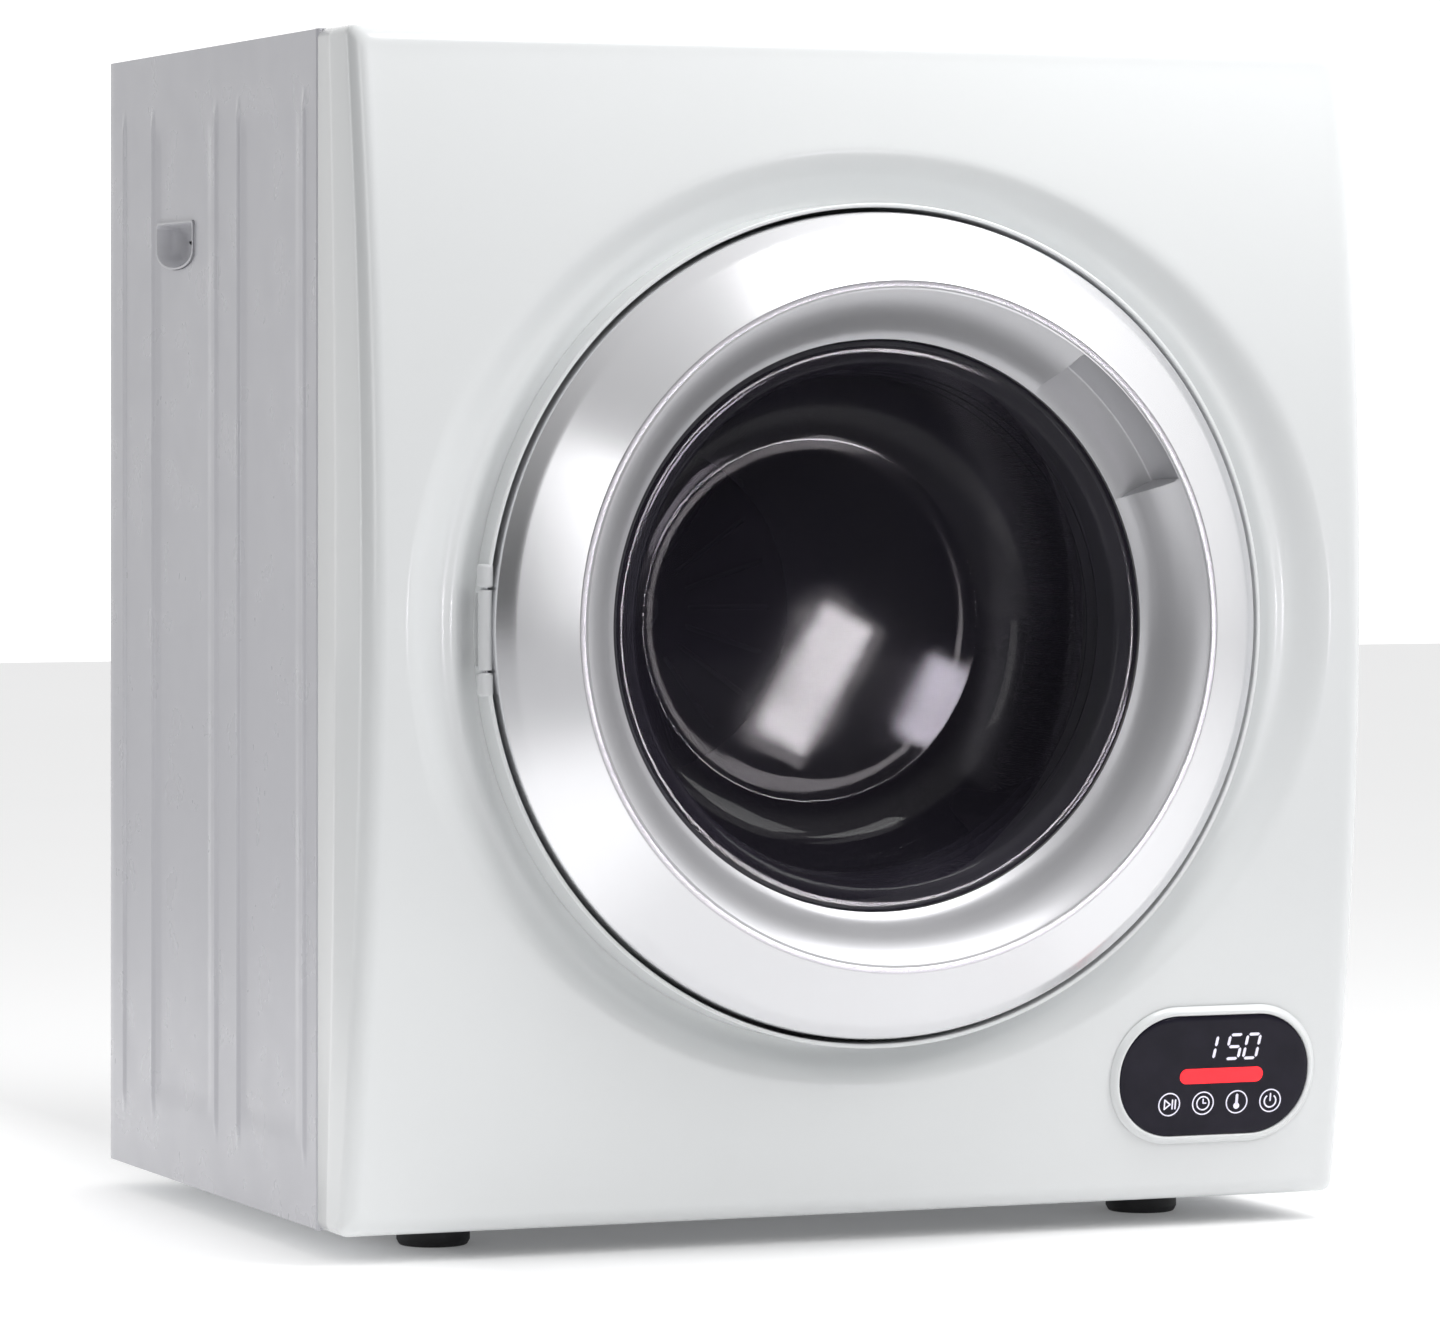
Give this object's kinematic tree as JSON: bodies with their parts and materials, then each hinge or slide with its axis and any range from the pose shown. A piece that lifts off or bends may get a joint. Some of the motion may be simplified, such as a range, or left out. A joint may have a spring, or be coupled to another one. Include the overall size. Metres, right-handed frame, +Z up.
{
  "type": "clothes dryer",
  "caption": "Compact front-loading vented clothes dryer with a round hinged door, tumbling drum, touch control panel and rear exhaust spigot.",
  "frame": {"origin": "on the floor, under the middle of the whole machine's box", "axes": "-Y towards the front, where the door is; +X to the right of someone facing the door; +Z up"},
  "size_m": [0.612, 0.556, 0.685],
  "materials": {
    "side_paint": "powder-coated white sheet steel, fine orange-peel texture",
    "zinc_sheet": "galvanised sheet steel with faint spangle",
    "white_plastic": "glossy injection-moulded white ABS",
    "white_enamel": "white painted steel",
    "heater_alloy": "bare aluminium fins",
    "tan_plastic": "tan phenolic",
    "felt": "pressed wool felt",
    "bronze": "oiled sintered bronze",
    "grey_plastic": "moulded grey polypropylene",
    "belt_rubber": "ribbed drive belt rubber",
    "motor_paint": "black painted motor shell",
    "spring_steel": "ground steel",
    "capacitor_can": "drawn aluminium can",
    "hinge_alloy": "die-cast zinc and aluminium alloy",
    "black_plastic": "moulded black plastic",
    "seal_rubber": "soft grey-black seal rubber",
    "black_glass": "black glossy touch panel",
    "circuit_board": "green circuit board",
    "led_light": "lit figures, a lit red bar and printed rings",
    "grip_plastic": "moulded white plastic",
    "foot_rubber": "black moulded rubber",
    "screw_steel": "zinc-plated screw",
    "drum_steel": "brushed stainless steel",
    "lifter_plastic": "moulded dark grey plastic",
    "filter_mesh": "woven filter mesh",
    "silver_trim": "satin silver finish over moulded plastic",
    "grey_trim": "satin grey moulded plastic",
    "smoked_glass": "smoked clear bowl, polished"
  },
  "bodies": {
    "cabinet": {"left_side_panel": "side_paint", "right_side_panel": "side_paint", "top_cover": "side_paint", "rear_panel": "zinc_sheet", "base_pan": "zinc_sheet", "front_fascia": "white_plastic", "front_bulkhead": "white_enamel", "rear_bulkhead": "zinc_sheet", "air_channel_ring": "zinc_sheet", "heater_box": "zinc_sheet", "ptc_heater": "heater_alloy", "thermal_cutouts": "tan_plastic", "felt_seal_front": "felt", "felt_seal_rear": "felt", "shaft_bearing": "bronze", "rear_air_duct": "zinc_sheet", "blower_housing": "grey_plastic", "exhaust_spigot": "white_plastic", "drum_belt": "belt_rubber", "motor_body": "motor_paint", "motor_bracket": "zinc_sheet", "idler_bracket": "zinc_sheet", "idler_spring": "spring_steel", "capacitor": "capacitor_can", "hinge_bracket": "hinge_alloy", "hinge_pin": "spring_steel", "latch_catch": "black_plastic", "door_gasket": "seal_rubber", "control_trim": "white_plastic", "control_window": "black_glass", "control_board": "circuit_board", "control_marks": "led_light", "side_grip_left": "grip_plastic", "side_grip_right": "grip_plastic", "cord_gland": "black_plastic", "terminal_cover": "black_plastic", "feet": "foot_rubber", "cabinet_screws": "screw_steel"},
    "door": {"door_outer_ring": "silver_trim", "door_inner_ring": "grey_trim", "door_glass": "smoked_glass", "door_back_frame": "white_plastic", "door_hinge_arm": "hinge_alloy", "door_striker": "white_plastic"},
    "drum": {"drum_shell": "drum_steel", "drum_front_ring": "drum_steel", "drum_rear_wall": "drum_steel", "drum_hub": "hinge_alloy", "drum_shaft": "spring_steel", "lifter_1": "lifter_plastic", "lifter_2": "lifter_plastic", "lifter_3": "lifter_plastic"},
    "lint_filter": {"lint_filter_cover": "lifter_plastic", "lint_screen": "filter_mesh"},
    "motor_rotor": {"motor_shaft": "spring_steel", "motor_pulley": "hinge_alloy", "blower_wheel": "black_plastic"},
    "idler_arm": {"idler_arm": "zinc_sheet", "idler_axle": "spring_steel"},
    "idler_pulley": {"idler_pulley": "black_plastic"}
  },
  "joints": [
    {"name": "door_hinge", "type": "hinge", "parent": "cabinet", "child": "door", "pos_m": [-0.2355, -0.241, 0.3515], "axis": [0, 0, -1], "range_deg": [0, 120]},
    {"name": "drum_spin", "type": "hinge", "parent": "cabinet", "child": "drum", "pos_m": [0, -0.013, 0.3515], "axis": [0, 1, 0], "continuous": true},
    {"name": "lint_filter_pull", "type": "slide", "parent": "drum", "child": "lint_filter", "axis": [0, -1, 0], "range_m": [0, 0.15]},
    {"name": "motor_spin", "type": "hinge", "parent": "cabinet", "child": "motor_rotor", "pos_m": [0.225, 0.037, 0.096], "axis": [0, 1, 0], "continuous": true},
    {"name": "idler_swing", "type": "hinge", "parent": "cabinet", "child": "idler_arm", "pos_m": [0.06, -0.063, 0.05], "axis": [0, 1, 0], "range_deg": [0, 6], "stiffness_Nm_per_rad": 1, "springref_deg": -28.65, "deforming": ["idler_spring"]},
    {"name": "idler_spin", "type": "hinge", "parent": "idler_arm", "child": "idler_pulley", "pos_m": [0.12, -0.043, 0.06324], "axis": [0, 1, 0], "continuous": true}
  ],
  "couplings": [
    {"joint": "motor_spin", "follows": "drum_spin", "ratio": 26.69},
    {"joint": "idler_spin", "follows": "drum_spin", "ratio": -17.8}
  ]
}
